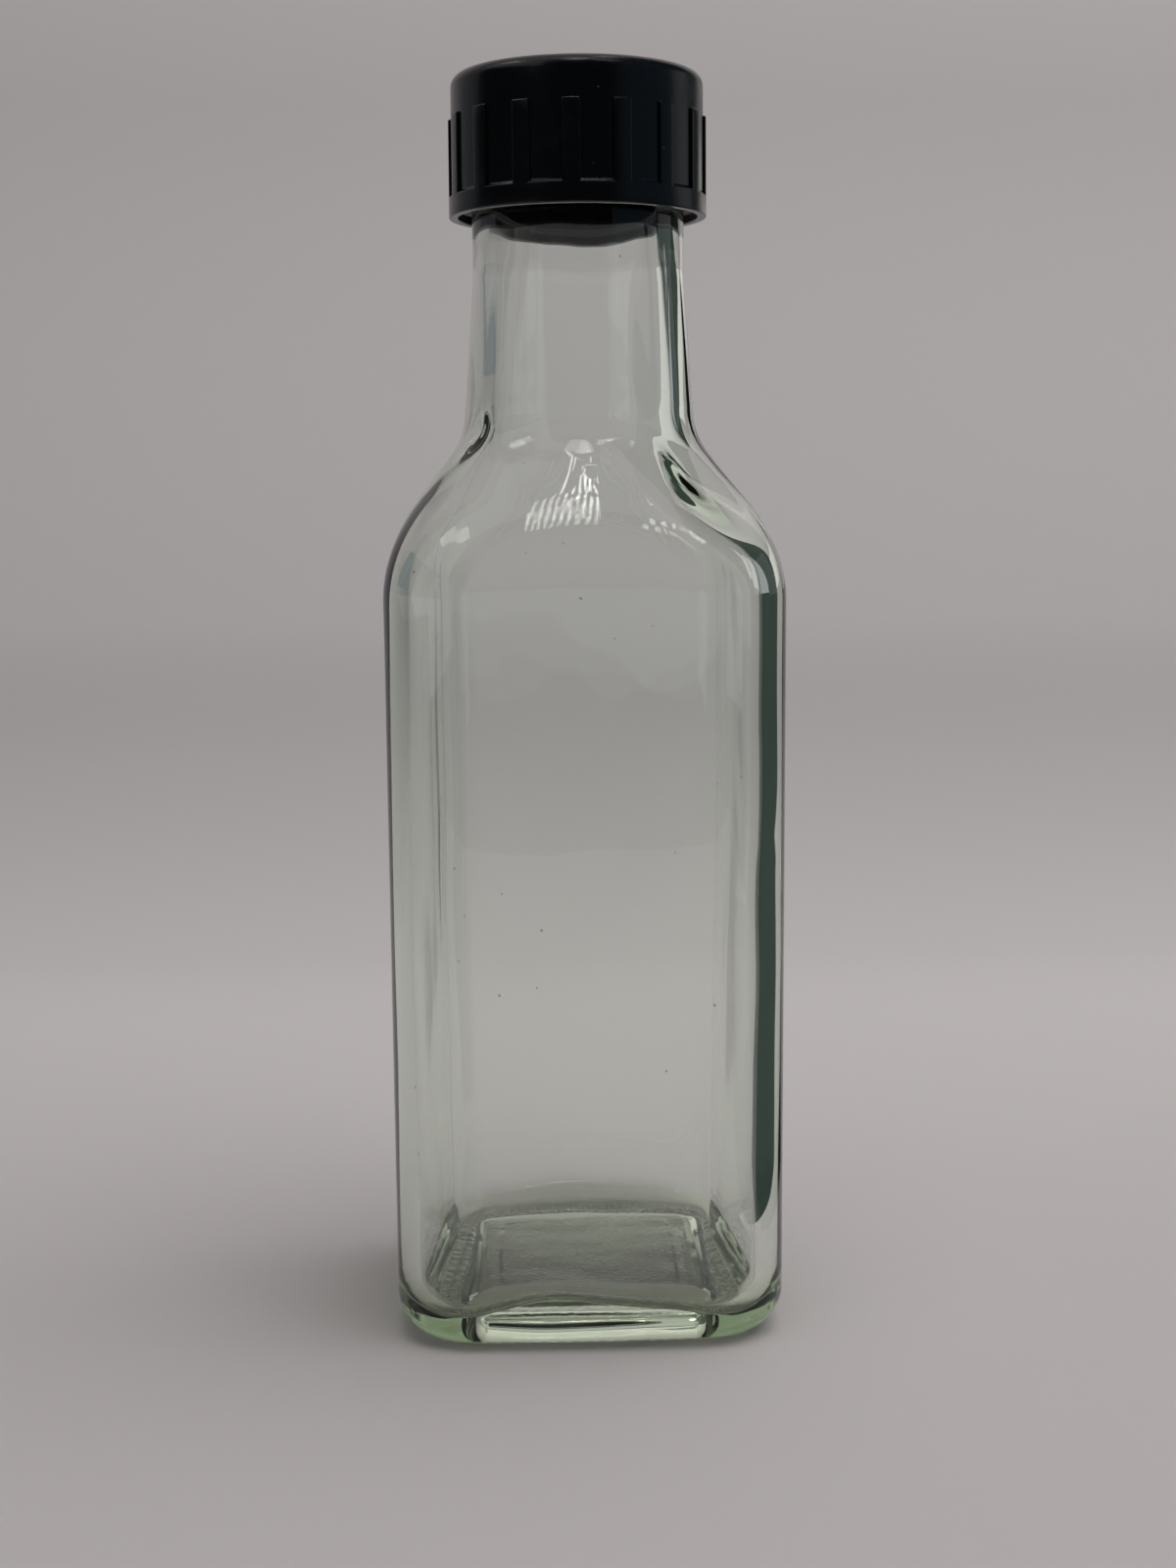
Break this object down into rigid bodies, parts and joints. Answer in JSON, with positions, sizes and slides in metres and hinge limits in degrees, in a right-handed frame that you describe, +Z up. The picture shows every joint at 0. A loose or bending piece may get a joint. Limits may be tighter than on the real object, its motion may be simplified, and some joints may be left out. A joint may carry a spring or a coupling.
{
  "type": "glass bottle with screw cap",
  "caption": "Empty clear glass bottle with a rounded-square body, sloping shoulders, a round neck and a ribbed black plastic screw cap.",
  "frame": {"origin": "centre of the base, at the height of the ring that the bottle stands on", "axes": "+Z up along the bottle; the four flat sides face -Y, +X, +Y and -X, and -Y is the front"},
  "size_m": [0.0468, 0.0468, 0.1461],
  "materials": {
    "glass": "clear, faintly green, smooth, with slight waves from moulding",
    "cap_plastic": "near-black moulded plastic with a soft gloss"
  },
  "bodies": {
    "root": {"bottle": "glass", "cap": "cap_plastic"}
  },
  "joints": []
}
